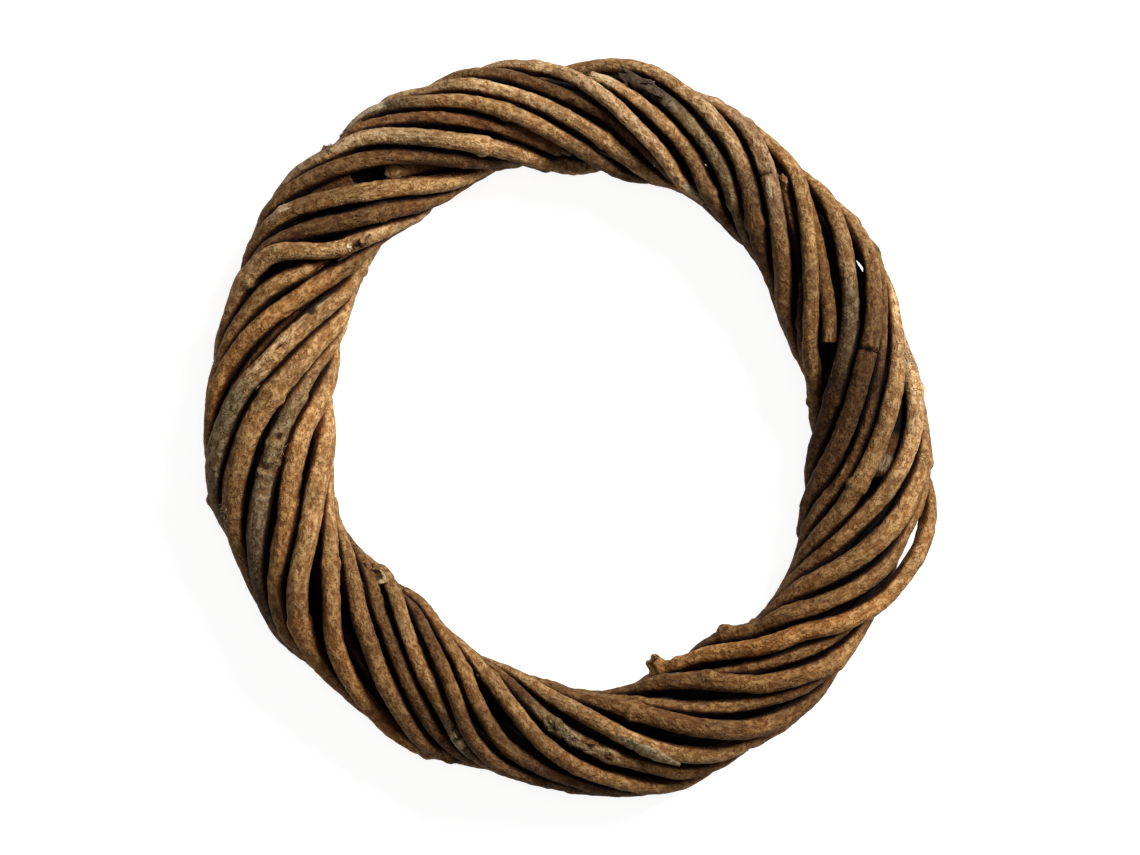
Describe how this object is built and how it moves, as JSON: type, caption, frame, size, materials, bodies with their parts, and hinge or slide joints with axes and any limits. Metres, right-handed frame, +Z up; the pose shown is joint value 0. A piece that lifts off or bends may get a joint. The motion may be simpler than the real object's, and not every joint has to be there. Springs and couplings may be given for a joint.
{
  "type": "wreath ring",
  "caption": "Ring of woody vine canes laid round each other like the strands of a rope, open in the middle, used flat as the base of a wreath.",
  "frame": {"origin": "middle of the ring's box, on the surface that the ring lies on", "axes": "+Z up, through the hole of the ring, out of its front; +Y to the top of the ring as pictured; +X to its right"},
  "size_m": [0.1992, 0.2012, 0.0341],
  "materials": {
    "bark_tan": "matte bark with lenticels",
    "bark_brown": "matte bark with lenticels",
    "bark_grey": "matte weathered bark",
    "bark_dark": "matte bark"
  },
  "bodies": {
    "root": {"cane_1": "bark_brown", "cane_2": "bark_grey", "cane_3": "bark_tan", "cane_4": "bark_brown", "cane_5": "bark_brown", "cane_6": "bark_grey", "cane_7": "bark_tan", "cane_8": "bark_tan", "under_cane_1": "bark_dark", "under_cane_2": "bark_dark", "under_cane_3": "bark_dark", "under_cane_4": "bark_dark", "core_cane": "bark_dark"}
  },
  "joints": []
}
